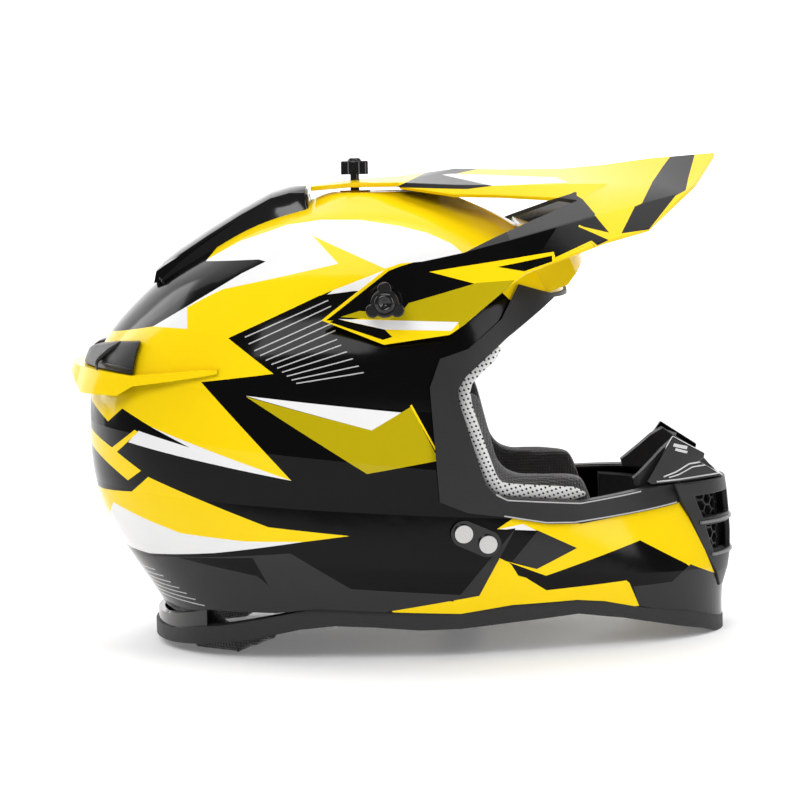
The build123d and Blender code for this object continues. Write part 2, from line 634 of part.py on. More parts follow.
finish(visor.part, "visor")


def star_knob(head_plane, lobe, head, shank_r, shank):
    """A three-lobed knob on a shank; the plane lies under its head and faces out."""
    with BuildPart() as knob:
        with BuildSketch(head_plane):
            Circle(lobe)
            with PolarLocations(lobe, 3, start_angle=90):
                Circle(lobe * LOBE_SHARE)
        extrude(amount=head)
        fillet(knob.faces().sort_by(Axis(head_plane.origin, head_plane.z_dir))[-1].edges(), KNOB_ROUND)
        with BuildSketch(head_plane):
            Circle(shank_r)
        extrude(amount=-shank)
    return knob.part


# Visor knobs, whose shanks turn in the inserts
head_face = arm_face + SEAT
side_plane = Plane((PIVOT[0] * SX, -head_face, PIVOT[1] * SZ), x_dir=(1, 0, 0), z_dir=(0, -1, 0))
with BuildPart() as visor_knob_right:
    add(star_knob(side_plane, SIDE_LOBE, SIDE_HEAD, SHANK_R, head_face - insert_depth))
finish(visor_knob_right.part, "visor_knob_right")

with BuildPart() as visor_knob_left:
    add(mirrored(visor_knob_right.part))
finish(visor_knob_left.part, "visor_knob_left")

tab_top = TAB_TOP_Z * SZ
top_plane = Plane.XY.offset(tab_top + TOP_KNOB_GAP).shift_origin((screw_x, 0, tab_top + TOP_KNOB_GAP))
with BuildPart() as visor_knob_top:
    add(star_knob(top_plane, TOP_LOBE, TOP_HEAD, TOP_SHANK_R,
                  tab_top + TOP_KNOB_GAP - top_face + TOP_BOSS_R))
finish(visor_knob_top.part, "visor_knob_top")
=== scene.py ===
"""Looks of a motocross helmet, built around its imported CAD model.

Metres, in the CAD frame: X forward, Y to the wearer's left, Z up.
Paint outlines are X and Z in millimetres on the helmet's side.
"""

import itertools
import math

import bmesh
import bpy
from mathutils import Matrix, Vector
from mathutils.bvhtree import BVHTree
from mathutils.geometry import tessellate_polygon


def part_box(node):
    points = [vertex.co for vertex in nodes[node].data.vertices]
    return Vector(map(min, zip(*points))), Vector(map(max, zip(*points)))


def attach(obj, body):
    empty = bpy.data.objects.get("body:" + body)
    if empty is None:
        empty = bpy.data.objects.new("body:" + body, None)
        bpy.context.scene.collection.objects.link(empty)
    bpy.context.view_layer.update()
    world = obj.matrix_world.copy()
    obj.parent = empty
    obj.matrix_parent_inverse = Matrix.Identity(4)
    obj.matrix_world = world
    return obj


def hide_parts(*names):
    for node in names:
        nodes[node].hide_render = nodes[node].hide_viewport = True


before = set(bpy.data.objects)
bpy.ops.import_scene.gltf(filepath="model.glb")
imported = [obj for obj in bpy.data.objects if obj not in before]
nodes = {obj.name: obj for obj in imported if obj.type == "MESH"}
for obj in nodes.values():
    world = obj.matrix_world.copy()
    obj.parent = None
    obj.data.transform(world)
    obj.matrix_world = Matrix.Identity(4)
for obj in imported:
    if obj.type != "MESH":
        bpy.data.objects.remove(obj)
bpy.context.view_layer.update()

# ------------------------------------------------------------------ colours
YELLOW = (0.86, 0.60, 0.004)
OLIVE = (0.42, 0.33, 0.003)
WHITE = (0.74, 0.74, 0.74)
BLACK = (0.0015, 0.0015, 0.0015)
GREY = (0.028, 0.028, 0.029)
HATCH = (0.42, 0.42, 0.42)

# ------------------------------------------------------------------ shell paint, back to front
SHELL_PAINT = [
    (YELLOW, [(-200, 151), (-105, 151), (-66, 155.5), (-90, 174), (-30, 200), (-4, 208.5), (3, 212.5),
              (34, 216), (140, 216), (140, 262), (-200, 262)]),
    (YELLOW, [(60, 190), (140, 190), (140, 220), (30, 220)]),
    (YELLOW, [(-200, 139), (-174, 139), (-159, 127), (-150, 135), (-134, 126), (-58, 99), (-105, 151),
              (-200, 152)]),
    (WHITE, [(-104, 213), (-85, 223), (-59, 231.5), (-40, 234), (-19, 233.5), (2, 230), (17, 226),
             (30, 220), (39, 212), (4, 211), (-132, 179)]),
    (YELLOW, [(-93, 199), (-31, 211.5), (-45, 226), (-5, 208), (-34, 198), (-40, 196), (-90, 174),
              (-66, 156), (-105, 151), (-113, 178), (-113, 190)]),
    (WHITE, [(-133, 179), (-93, 199.5), (-113, 190), (-112.5, 178.5)]),
    (WHITE, [(-34, 198), (-5, 208.3), (4, 212), (12, 206), (-23, 194), (-40, 194)]),
    (BLACK, [(-41, 195.5), (-90, 174), (-66, 155.5), (40, 150), (40, 205), (-10, 197.5), (-23, 197.5)]),
    (BLACK, [(-169, 172), (-104, 212.5), (-74, 214), (-70, 213), (-83, 207), (-132, 179)]),
    (BLACK, [(-200, 172), (-169, 172), (-104, 212.5), (-91.4, 227.7), (-65, 242.7), (-52, 246),
             (-46.5, 244), (-46.5, 262), (-200, 262)]),
    (BLACK, [(-200, 139.5), (-174, 139.5), (-159, 127), (-150, 135), (-134, 126.5), (-112, 116),
             (-143, 124), (-157, 113), (-172, 121), (-200, 121)]),
    (WHITE, [(-147, 117), (-141, 123.5), (-133, 126), (-58, 99)]),
    (BLACK, [(-140.5, 123.6), (-134, 126.4), (-112, 116)]),
    (YELLOW, [(-200, 121), (-171, 120.5), (-157, 113), (-143, 124), (-141, 123), (-154, 111), (-140, 102),
              (-148, 96), (-173, 113), (-200, 113)]),
    (YELLOW, [(-200, 87), (-171, 88), (-146, 90), (-136, 99), (-71, 74), (-28, 69), (-53, 66), (-84, 66),
              (-119, 69), (-141, 76), (-158, 82), (-165, 65), (-200, 65)]),
    (WHITE, [(-158, 82), (-141, 76), (-119, 69), (-84, 66), (-53, 66), (-100, 59), (-138, 55), (-151, 56),
             (-166, 64)]),
    (WHITE, [(-81, 144), (1, 134), (-15, 125)]),
    (OLIVE, [(-81, 143.6), (-15, 125), (6, 137), (20, 108), (-18, 102)]),
    (YELLOW, [(5.4, 137.5), (6.4, 138), (27.6, 97), (27, 96.6)]),
    (YELLOW, [(50, 70), (62, 77.5), (95, 70), (152, 76), (166, 47), (176, 23), (154, 42), (128, 58),
              (76, 43), (54, 52.5), (71, 47), (93, 57), (72, 68)]),
    (WHITE, [(51, 70), (64, 72), (71, 68)]),
    (GREY, [(72, 68), (93, 57), (71, 47), (58, 52)]),
    (GREY, [(61, 44), (48, 55), (32, 35)]),
    (YELLOW, [(48, 56), (57, 51), (61, 44), (67, 42), (76, 35), (121, 37), (127, 22), (100, 20), (85, 20),
              (46, 20), (22, 23), (22, 27)]),
    (BLACK, [(56, 51.5), (76, 42.6), (128, 57.6), (154, 41.6), (124, 33), (120, 36.8), (76, 35), (66, 42)]),
    (YELLOW, [(-30, 38), (26, 31.5), (22, 24), (-2, 25)]),
    (GREY, [(157, 41), (200, 18), (200, 0), (127, 22), (124, 33), (146, 33)]),
    (GREY, [(-150, 50), (-130, 54.5), (-50, 60.5), (60, 70), (40, 34), (-30, 24), (-128, 24)]),
    (BLACK, [(-122, 55), (-78, 47), (-70, 40), (-72, 42), (-80, 57)]),
    (BLACK, [(60, 70), (48, 56), (30, 35), (-28, 40), (-60, 60)]),
]
HATCHES = [((-81, 174.5), (-36.5, 193)), ((-79, 171), (-35, 190)), ((-76, 167.5), (-34.5, 185)),
           ((-73, 165), (-34, 181.5)),
           ((-70, 162.5), (-33, 177.5)), ((-67, 160.4), (-32, 173)), ((-64, 158.4), (-30, 170)),
           ((-61.5, 156.3), (-27, 166.5)),
           ((-59, 154.2), (-24, 162.8)), ((-56.5, 152.2), (-21, 159)), ((-54, 150.4), (-18.5, 155.5)),
           ((-150, 45.3), (-136, 45)), ((-148, 42.5), (-131, 42)), ((-146, 40), (-127, 39)),
           ((-143, 37.5), (-122, 36.2)),
           ((-140, 35), (-118, 33.5)), ((-137, 32.5), (-113, 30.6)), ((-134, 30), (-108, 27.6))]
HATCH_WIDTH = 0.62
HELMET_MIDDLE = (-0.02, 0.0, 0.12)
# below these two lines the shading bends, as at a crease in the shell
CREASES = (((-166, 92), (21, 78), 0.16), ((-185, 157), (20, 133), 0.12))
CREASE_REACH = 0.03

# ------------------------------------------------------------------ visor paint
VISOR_PAINT = [
    (BLACK, [(-37.5, 183.4), (-4, 208.6), (2, 210.8), (14, 214), (40, 220), (56, 227), (69, 234),
             (97, 246), (100, 242), (113, 225), (97, 229), (113, 221.5),
             (105, 218), (103, 220), (84, 212), (83, 216), (17, 207.5), (43, 200), (6, 191), (1, 186),
             (-31, 183)]),
    (GREY, [(60, 223), (58, 228), (70, 238), (98, 246), (109, 235)]),
    (YELLOW, [(98, 244), (101, 242), (114, 224.3), (118, 224), (128, 239), (140, 250), (98, 250)]),
    (BLACK, [(161, 270), (170.5, 270), (157, 245.5), (151, 243), (134.5, 226), (119.5, 224.4), (128, 238),
             (132, 239.5), (140, 250)]),
    (OLIVE, [(42, 201), (62, 202), (56, 196), (32, 176), (32, 180), (-30, 185), (-20, 188), (1, 186),
             (6, 191.5)]),
    (BLACK, [(53, 209), (82, 214), (82, 211), (67, 206.4)]),
    (WHITE, [(-31, 184), (32, 181), (28, 176.5), (-7, 178)]),
    (BLACK, [(-36, 182.6), (-31, 183.8), (-7, 178), (-3, 174), (-8, 172.6)]),
    (BLACK, [(0, 250), (29, 262), (68, 262), (32, 256), (26, 256), (53, 250), (39, 248.6)]),
    (WHITE, [(26, 256), (32, 256.4), (88, 253.4), (94, 251), (53, 250)]),
]
VISOR_LINES = [((97, 229), (113, 221.6)), ((84, 212.6), (103, 220.6)), ((103, 220.8), (106, 218.2))]
VISOR_LINE_WIDTH = 1.0

# ------------------------------------------------------------------ painted highlight lines on the port trim, and printed lines on the nose guard
# pale grey lines along the port trim's edges: a painted highlight, with their width and their course
TRIM_HIGHLIGHT_GREY = (0.4, 0.4, 0.39)
TRIM_HIGHLIGHT_WIDTH = 0.7
TRIM_HIGHLIGHT_LINES = [((54, 77.0), (76.5, 72.2)), ((76.5, 72.2), (91.5, 71.3)), ((91.5, 71.3), (150, 75.6)),
              ((36.5, 124.8), (45.6, 94.2)), ((45.6, 94.2), (50.6, 88.2)), ((50.6, 88.2), (56.0, 85.4)),
              ((56.0, 85.4), (95.2, 81.2)), ((95.2, 81.2), (129.2, 84.2))]
GUARD_LINE = (0.55, 0.55, 0.55)
# start, end and width
GUARD_LINES = [((139, 87.2), (176, 87.4), 0.8), ((143, 89.5), (150, 91.5), 0.8),
               ((150, 91.5), (158, 95), 0.8), ((158, 95), (175, 95.3), 0.8),
               ((146, 88.8), (152, 90), 0.7), ((152, 90), (160, 93), 0.7), ((160, 93), (175, 93.2), 0.7),
               ((149, 106.5), (157, 104), 1.8), ((150, 104), (157, 101.5), 1.4)]


# ------------------------------------------------------------------ material tools
def convex_parts(points):
    """Splits a polygon, given anticlockwise, into convex ones."""
    def turn(a, b, c):
        return (b[0] - a[0]) * (c[1] - a[1]) - (b[1] - a[1]) * (c[0] - a[0])

    def convex(loop):
        return all(turn(points[loop[k - 2]], points[loop[k - 1]], points[loop[k]]) > -1e-9
                   for k in range(len(loop)))

    if convex(range(len(points))):
        return [points]
    loops = []
    for triangle in tessellate_polygon([[Vector((x, z, 0.0)) for x, z in points]]):
        loop = list(triangle)
        loops.append(loop if convex(loop) else loop[::-1])
    joined = True
    while joined:
        joined = False
        for first, second in itertools.permutations(loops, 2):
            for k, start in enumerate(first):
                end = first[(k + 1) % len(first)]
                if start in second and second[(second.index(start) - 1) % len(second)] == end:
                    cut = second.index(start)
                    merged = first[k + 1:] + first[:k + 1] + (second[cut + 1:] + second[:cut])[:-1]
                    if convex(merged):
                        loops.remove(first)
                        loops.remove(second)
                        loops.append(merged)
                        joined = True
                    break
            if joined:
                break
    return [[points[k] for k in loop] for loop in loops]


class Paint:
    """A node material: a shiny or matt ground with grain, and flat shapes painted on it."""

    def __init__(self, name, colour, rough=0.4, metal=0.0, specular=0.5, sheen=0.0):
        self.material = bpy.data.materials.new(name)
        self.material.use_nodes = True
        self.tree = self.material.node_tree
        self.shader = self.tree.nodes["Principled BSDF"]
        self.shader.inputs["Metallic"].default_value = metal
        self.shader.inputs["Specular IOR Level"].default_value = specular
        self.shader.inputs["Sheen Weight"].default_value = sheen
        self.place = self.node("ShaderNodeTexCoord").outputs["Object"]
        split = self.node("ShaderNodeSeparateXYZ")
        self.link(self.place, split.inputs[0])
        self.axes = split.outputs
        flat = self.node("ShaderNodeCombineXYZ")
        self.link(self.axes["X"], flat.inputs["X"])
        self.link(self.axes["Z"], flat.inputs["Z"])
        flat.inputs["Y"].default_value = 1.0
        self.flat = flat.outputs[0]
        self.colour = colour
        self.rough = rough
        self.height = None

    def node(self, kind, **settings):
        made = self.tree.nodes.new(kind)
        for key, value in settings.items():
            setattr(made, key, value)
        return made

    def link(self, output, socket):
        if isinstance(output, bpy.types.NodeSocket):
            self.tree.links.new(output, socket)
        elif isinstance(output, tuple):
            socket.default_value = (*output, 1.0)
        else:
            socket.default_value = output

    def maths(self, operation, first, second=0.0, third=None):
        made = self.node("ShaderNodeMath", operation=operation)
        self.link(first, made.inputs[0])
        self.link(second, made.inputs[1])
        if third is not None:
            self.link(third, made.inputs[2])
        return made.outputs[0]

    def mix(self, factor, first, second):
        made = self.node("ShaderNodeMix", data_type="RGBA")
        self.link(factor, made.inputs[0])
        self.link(first, made.inputs[6])
        self.link(second, made.inputs[7])
        return made.outputs[2]

    def noise(self, scale, detail=3.0, stretch=None):
        made = self.node("ShaderNodeTexNoise")
        made.inputs["Scale"].default_value = scale
        made.inputs["Detail"].default_value = detail
        place = self.place
        if stretch:
            scaled = self.node("ShaderNodeVectorMath", operation="MULTIPLY")
            self.link(place, scaled.inputs[0])
            scaled.inputs[1].default_value = stretch
            place = scaled.outputs[0]
        self.link(place, made.inputs["Vector"])
        return made.outputs[0]

    def half_plane(self, a, b):
        """Signed distance in metres, positive to the left of the line from a to b."""
        nx, nz = -(b[1] - a[1]), b[0] - a[0]
        size = math.hypot(nx, nz)
        nx, nz = nx / size, nz / size
        made = self.node("ShaderNodeVectorMath", operation="DOT_PRODUCT")
        self.link(self.flat, made.inputs[0])
        made.inputs[1].default_value = (nx, -(a[0] * nx + a[1] * nz) / 1000, nz)
        return made.outputs["Value"]

    def shape(self, points):
        """1 inside the outline, which is X and Z in millimetres, else 0."""
        area = sum(a[0] * b[1] - b[0] * a[1] for a, b in zip(points, points[1:] + points[:1]))
        if area < 0:
            points = points[::-1]
        whole = None
        for part in convex_parts(points):
            depth = None
            for a, b in zip(part, part[1:] + part[:1]):
                if a != b:
                    side = self.half_plane(a, b)
                    depth = side if depth is None else self.maths("MINIMUM", depth, side)
            whole = depth if whole is None else self.maths("MAXIMUM", whole, depth)
        return self.maths("GREATER_THAN", whole, 0.0)

    def cover(self, colour, points):
        """Paints a flat shape over what is there."""
        self.colour = self.mix(self.shape(points), self.colour, colour)

    def stripe(self, colour, a, b, width):
        """Paints a line of a width in millimetres from a to b."""
        dx, dz = b[0] - a[0], b[1] - a[1]
        size = math.hypot(dx, dz)
        nx, nz = -dz / size * width / 2, dx / size * width / 2
        self.cover(colour, [(a[0] - nx, a[1] - nz), (b[0] - nx, b[1] - nz), (b[0] + nx, b[1] + nz),
                            (a[0] + nx, a[1] + nz)])

    def outside_only(self, colour, centre):
        """Where the surface looks towards the centre, the ground colour shows instead."""
        geometry = self.node("ShaderNodeNewGeometry")
        away = self.node("ShaderNodeVectorMath", operation="SUBTRACT")
        self.link(self.place, away.inputs[0])
        away.inputs[1].default_value = centre
        facing = self.node("ShaderNodeVectorMath", operation="DOT_PRODUCT")
        self.link(away.outputs[0], facing.inputs[0])
        self.link(geometry.outputs["True Normal"], facing.inputs[1])
        self.colour = self.mix(self.maths("LESS_THAN", facing.outputs["Value"], 0.0), self.colour, colour)

    def raise_by(self, height, amount):
        """Adds a height field, in metres times amount, to the bump."""
        part = self.maths("MULTIPLY", height, amount)
        self.height = part if self.height is None else self.maths("ADD", self.height, part)

    def finish(self, shade=0.12, shade_scale=30.0, rough_spread=0.1):
        """Joins it up: colour and roughness vary a little over the surface."""
        field = self.noise(shade_scale)
        varied = self.node("ShaderNodeHueSaturation")
        self.link(self.colour, varied.inputs["Color"])
        self.link(self.maths("MULTIPLY_ADD", field, shade, 1.0 - shade / 2), varied.inputs["Value"])
        self.link(varied.outputs[0], self.shader.inputs["Base Color"])
        rough = self.maths("MULTIPLY_ADD", self.noise(shade_scale * 3), rough_spread,
                           self.rough - rough_spread / 2)
        self.link(rough, self.shader.inputs["Roughness"])
        if self.height is not None:
            bump = self.node("ShaderNodeBump")
            bump.inputs["Strength"].default_value = 1.0
            bump.inputs["Distance"].default_value = 1.0
            self.link(self.height, bump.inputs["Height"])
            self.link(bump.outputs[0], self.shader.inputs["Normal"])
        return self.material


def dress(target, material):
    """Puts one material on every face of an object or a named CAD node."""
    piece = nodes[target] if isinstance(target, str) else target
    if not piece.data.materials:
        piece.data.materials.append(material)
    for entry in piece.material_slots:
        entry.material = material


# ------------------------------------------------------------------ materials
def shell_material():
    """Gloss black with the printed livery, seen from the side."""
    paint = Paint("shell_gloss", BLACK, rough=0.12, specular=0.14)
    for colour, points in SHELL_PAINT:
        paint.cover(colour, points)
    for a, b in HATCHES:
        paint.stripe(HATCH, a, b, HATCH_WIDTH)
    paint.outside_only(BLACK, HELMET_MIDDLE)
    for a, b, slope in CREASES:
        depth = paint.maths("MAXIMUM", paint.half_plane(b, a), 0.0)
        paint.raise_by(paint.maths("MINIMUM", depth, CREASE_REACH), slope)
    paint.raise_by(paint.noise(220.0, 2.0), 0.00002)
    return paint.finish(shade=0.05, rough_spread=0.06)


def visor_material():
    """Gloss yellow with the peak's printed livery."""
    paint = Paint("visor_gloss", YELLOW, rough=0.15, specular=0.14)
    for colour, points in VISOR_PAINT:
        paint.cover(colour, points)
    for a, b in VISOR_LINES:
        paint.stripe(YELLOW, a, b, VISOR_LINE_WIDTH)
    paint.raise_by(paint.noise(220.0, 2.0), 0.00002)
    return paint.finish(shade=0.05, rough_spread=0.06)


def plain(name, colour, rough, grain_scale, grain, metal=0.0, specular=0.25, detail=3.0):
    """A material of one colour with a fine grain."""
    paint = Paint(name, colour, rough=rough, metal=metal, specular=specular)
    paint.raise_by(paint.noise(grain_scale, detail), grain)
    return paint.finish(shade=0.2, shade_scale=60.0)


def knit(name, colour, sheen=0.4, pitch=0.0016, depth=0.00025):
    """Knitted mesh fabric: rows of small holes with fuzz between them."""
    paint = Paint(name, colour, rough=0.9, sheen=sheen)
    cells = paint.node("ShaderNodeTexVoronoi", feature="F1")
    cells.inputs["Scale"].default_value = 1.0 / pitch
    cells.inputs["Randomness"].default_value = 0.25
    paint.link(paint.place, cells.inputs["Vector"])
    paint.raise_by(cells.outputs["Distance"], -depth * 3)
    paint.raise_by(paint.noise(2500.0, 2.0), depth)
    dark = paint.maths("LESS_THAN", cells.outputs["Distance"], 0.28)
    paint.colour = paint.mix(paint.maths("MULTIPLY", dark, 0.7), colour, tuple(c * 0.25 for c in colour))
    return paint.finish(shade=0.35, shade_scale=90.0)


HOLE_PITCH = 0.0026


def perforated(name):
    """White mesh edging with slanted rows of black holes."""
    paint = Paint(name, (0.70, 0.70, 0.69), rough=0.85, sheen=0.2)
    slanted = paint.node("ShaderNodeCombineXYZ")
    paint.link(paint.maths("MULTIPLY_ADD", paint.axes["Z"], 0.45, paint.axes["X"]), slanted.inputs["X"])
    paint.link(paint.maths("MULTIPLY_ADD", paint.axes["X"], -0.25, paint.axes["Z"]), slanted.inputs["Y"])
    cells = paint.node("ShaderNodeTexVoronoi", feature="F1", voronoi_dimensions="2D")
    cells.inputs["Scale"].default_value = 1.0 / HOLE_PITCH
    cells.inputs["Randomness"].default_value = 0.08
    paint.link(slanted.outputs[0], cells.inputs["Vector"])
    hole = paint.maths("LESS_THAN", cells.outputs["Distance"], 0.24)
    paint.colour = paint.mix(hole, paint.colour, (0.006, 0.006, 0.006))
    paint.raise_by(paint.maths("MINIMUM", cells.outputs["Distance"], 0.35), 0.0009)
    paint.raise_by(paint.noise(1500.0, 2.0), 0.0001)
    return paint.finish(shade=0.15, shade_scale=60.0)


def woven(name, colour):
    """Flat webbing: fine ribs along and across."""
    paint = Paint(name, colour, rough=0.75, sheen=0.3)
    ribs = paint.maths("SINE", paint.maths("MULTIPLY", paint.axes["X"], 5200.0))
    rows = paint.maths("SINE", paint.maths("MULTIPLY", paint.axes["Y"], 3600.0))
    paint.raise_by(paint.maths("MULTIPLY", ribs, rows), 0.00015)
    return paint.finish(shade=0.3, shade_scale=200.0)


def trim_material():
    """Matt moulded plastic with a painted highlight: a pale line along its edges."""
    paint = Paint("matte_band", (0.013, 0.013, 0.014), rough=0.45, specular=0.3)
    # paints the highlight lines along the trim's edges
    for a, b in TRIM_HIGHLIGHT_LINES:
        paint.stripe(TRIM_HIGHLIGHT_GREY, a, b, TRIM_HIGHLIGHT_WIDTH)
    paint.raise_by(paint.noise(1800.0), 0.00012)
    return paint.finish(shade=0.2, shade_scale=60.0)


def guard_material():
    """Gloss black with a few pale stripes."""
    paint = Paint("guard_gloss", BLACK, rough=0.12, specular=0.4)
    for a, b, width in GUARD_LINES:
        paint.stripe(GUARD_LINE, a, b, width)
    paint.raise_by(paint.noise(300.0), 0.00002)
    return paint.finish(shade=0.1, shade_scale=60.0)


shell_gloss = shell_material()
visor_gloss = visor_material()
matte_band = trim_material()
guard_gloss = guard_material()
grey_fin = plain("grey_fin", (0.16, 0.16, 0.16), 0.3, 900.0, 0.00005)
rubber = plain("edge_rubber", (0.022, 0.022, 0.023), 0.55, 900.0, 0.00015)
gloss_black = plain("gloss_black", (0.004, 0.004, 0.0045), 0.12, 300.0, 0.00002, specular=0.45)
satin_black = plain("satin_black", (0.018, 0.018, 0.019), 0.38, 900.0, 0.00008)
foam_black = plain("foam_black", (0.02, 0.02, 0.021), 0.85, 420.0, 0.0006, detail=1.0)
pad_fabric = knit("pad_fabric", (0.022, 0.022, 0.023))
white_mesh = perforated("white_mesh")
webbing = woven("webbing", (0.02, 0.02, 0.021))
rivet_steel = plain("rivet_steel", (0.5, 0.5, 0.49), 0.28, 700.0, 0.00006, metal=1.0)
steel = plain("ring_steel", (0.6, 0.6, 0.6), 0.25, 900.0, 0.00004, metal=1.0)
brass = plain("brass", (0.72, 0.5, 0.18), 0.3, 900.0, 0.00004, metal=1.0)

FINISH = {
    "outer_shell": shell_gloss, "visor": visor_gloss, "eyeport_trim": matte_band, "neck_trim": rubber,
    "nose_guard_lip": rubber, "nose_guard_cover": guard_gloss, "chin_vent_frame": satin_black,
    "chin_vent_mesh": satin_black, "rear_vent_right": satin_black, "rear_vent_left": satin_black,
    "brow_vent": satin_black, "rear_exhaust_wall": gloss_black, "visor_knob_right": gloss_black,
    "visor_knob_left": gloss_black, "visor_knob_top": gloss_black, "strap_plate_right": gloss_black,
    "strap_plate_left": gloss_black, "strap_rivets": rivet_steel, "strap_hangers": steel,
    "d_ring_lower": steel, "d_ring_upper": steel, "screw_inserts": brass, "cheek_studs": satin_black,
    "strap_stud": satin_black, "eps_liner": foam_black, "chin_eps": foam_black,
    "chin_strap_right": webbing, "chin_strap_left": webbing,
}
for name, material in FINISH.items():
    dress(name, material)


# ------------------------------------------------------------------ hard pieces with softened edges
def new_piece(name, mesh, material, body):
    """An object from a bmesh, dressed and riding on a body."""
    data = bpy.data.meshes.new(name)
    mesh.to_mesh(data)
    mesh.free()
    piece = bpy.data.objects.new(name, data)
    bpy.context.scene.collection.objects.link(piece)
    dress(piece, material)
    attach(piece, body)
    return piece


def apply_all(piece):
    bpy.ops.object.select_all(action="DESELECT")
    bpy.context.view_layer.objects.active = piece
    piece.select_set(True)
    for modifier in list(piece.modifiers):
        bpy.ops.object.modifier_apply(modifier=modifier.name)


def subdivided(piece):
    """Adds one subdivision and shades the piece smooth."""
    smooth = piece.modifiers.new("smooth", "SUBSURF")
    smooth.levels = smooth.render_levels = 1
    apply_all(piece)
    piece.data.shade_smooth()


def thicken(piece, thickness, offset=0.0):
    """Gives an open surface a wall, by default half to each side."""
    wall = piece.modifiers.new("wall", "SOLIDIFY")
    wall.thickness = thickness
    wall.offset = offset


def round_edges(piece, width, segments=2):
    """Bevels the edges and returns the modifier."""
    edge = piece.modifiers.new("edge", "BEVEL")
    edge.width = width
    edge.segments = segments
    return edge


def soften(node, body, slot, width, angle):
    """The CAD piece again, with its sharp edges rounded."""
    mesh = bmesh.new()
    mesh.from_mesh(nodes[node].data)
    bmesh.ops.remove_doubles(mesh, verts=mesh.verts, dist=1e-5)
    bmesh.ops.dissolve_limit(mesh, angle_limit=math.radians(1.0), verts=mesh.verts, edges=mesh.edges)
    piece = new_piece(node + "_soft", mesh, FINISH[node], body)
    bevel = piece.modifiers.new("edges", "BEVEL")
    bevel.width = width
    bevel.segments = 3
    bevel.limit_method = "ANGLE"
    bevel.angle_limit = math.radians(angle)
    bevel.harden_normals = True
    apply_all(piece)
    piece.data.shade_smooth()
    evened = piece.modifiers.new("normals", "WEIGHTED_NORMAL")
    evened.keep_sharp = True
    apply_all(piece)
    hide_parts(node)


# node, body, slot, bevel in metres, smallest angle in degrees that is bevelled
SOFTENED = [
    ("visor", "visor_body", "visor_paint", 0.0009, 14.0),
    ("visor_knob_right", "knob_right_body", "gloss_black", 0.0017, 32.0),
    ("visor_knob_left", "knob_left_body", "gloss_black", 0.0017, 32.0),
    ("visor_knob_top", "knob_top_body", "gloss_black", 0.0009, 32.0),
    ("nose_guard_cover", "root", "gloss_black", 0.0008, 32.0),
    ("nose_guard_lip", "root", "edge_rubber", 0.0008, 32.0),
    ("strap_plate_right", "root", "gloss_black", 0.0006, 32.0),
    ("strap_plate_left", "root", "gloss_black", 0.0006, 32.0),
    ("chin_strap_right", "root", "webbing", 0.0004, 32.0),
    ("chin_strap_left", "root", "webbing", 0.0004, 32.0),
    ("rear_vent_right", "root", "satin_black", 0.0006, 32.0),
    ("rear_vent_left", "root", "satin_black", 0.0006, 32.0),
]
for softened in SOFTENED:
    soften(*softened)


# ------------------------------------------------------------------ hubs of the knobs
# share of the radius, and rise along the axis as a share of the radius
HUB_PROFILE = ((0.0, 0.10), (0.22, 0.12), (0.42, 0.34), (0.60, 0.40), (0.78, 0.30), (0.94, 0.06),
(1.0, -0.12))
HUB_SIDES = 36
SIDE_HUB = 0.0062
TOP_HUB = 0.0042
SIDE_SCREW = (-0.0065, 0.1924)
TOP_SCREW_X = -0.0224


def knob_hub(name, body, middle, axis, radius):
    """A turned hub with a dished middle on the face of a star knob."""
    mesh = bmesh.new()
    rings = []
    side = axis.orthogonal().normalized()
    other = axis.cross(side)
    for share, rise in HUB_PROFILE:
        ring = []
        for k in range(1 if share == 0 else HUB_SIDES):
            angle = 2 * math.pi * k / HUB_SIDES
            out = side * math.cos(angle) + other * math.sin(angle)
            ring.append(mesh.verts.new(middle + axis * rise * radius + out * share * radius))
        rings.append(ring)
    for first, second in zip(rings, rings[1:]):
        for k in range(HUB_SIDES):
            after = (k + 1) % HUB_SIDES
            if len(first) == 1:
                mesh.faces.new((first[0], second[k], second[after]))
            else:
                mesh.faces.new((first[k], second[k], second[after], first[after]))
    bmesh.ops.recalc_face_normals(mesh, faces=mesh.faces)
    piece = new_piece(name, mesh, gloss_black, body)
    subdivided(piece)


for hand, sign in (("right", -1), ("left", 1)):
    low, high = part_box("visor_knob_" + hand)
    face = low[1] if sign < 0 else high[1]
    knob_hub("knob_hub_" + hand, "knob_%s_body" % hand,
             Vector((SIDE_SCREW[0], face, SIDE_SCREW[1])), Vector((0.0, sign, 0.0)), SIDE_HUB)
knob_hub("knob_hub_top", "knob_top_body",
         Vector((TOP_SCREW_X, 0.0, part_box("visor_knob_top")[1][2])), Vector((0.0, 0.0, 1.0)), TOP_HUB)


# ------------------------------------------------------------------ chin vent
# height, front, where the side meets the chin, half width, in millimetres
CAGE = [(85.2, 180.8, 149.0, 53.5), (76.0, 182.0, 152.5, 50.5), (66.0, 182.8, 158.0, 46.5),
        (54.0, 183.4, 163.0, 42.0),
        (43.0, 183.2, 168.0, 37.0), (34.0, 181.8, 173.0, 31.0), (25.0, 178.8, 175.5, 23.0)]
CAGE_WINDOWS = [(45.5, 60.5), (64.5, 77.5)]
WINDOW_ACROSS = (0.2, 0.86)
CAGE_LOW, CAGE_TALL = 25, 60.2
CAGE_COLUMNS, CAGE_ROWS = 56, 39
FIN_LEVELS = (62.5, 44.0)
# how far behind the cage the honeycomb lies, in metres
CAGE_BACK = 0.007


def cage_point(across_share, height, back=0.0):
    """A point on the cage: across_share runs from -1 to 1, height in millimetres."""
    for upper, lower in zip(CAGE, CAGE[1:]):
        if height >= lower[0]:
            break
    t = (height - lower[0]) / (upper[0] - lower[0])
    front, side, half = (low + (high - low) * t for low, high in zip(lower[1:], upper[1:]))
    x = front - (front - side) * abs(across_share) ** 2.2
    return Vector((x / 1000 - back, across_share * half * (1 - back / 0.05) / 1000, height / 1000))


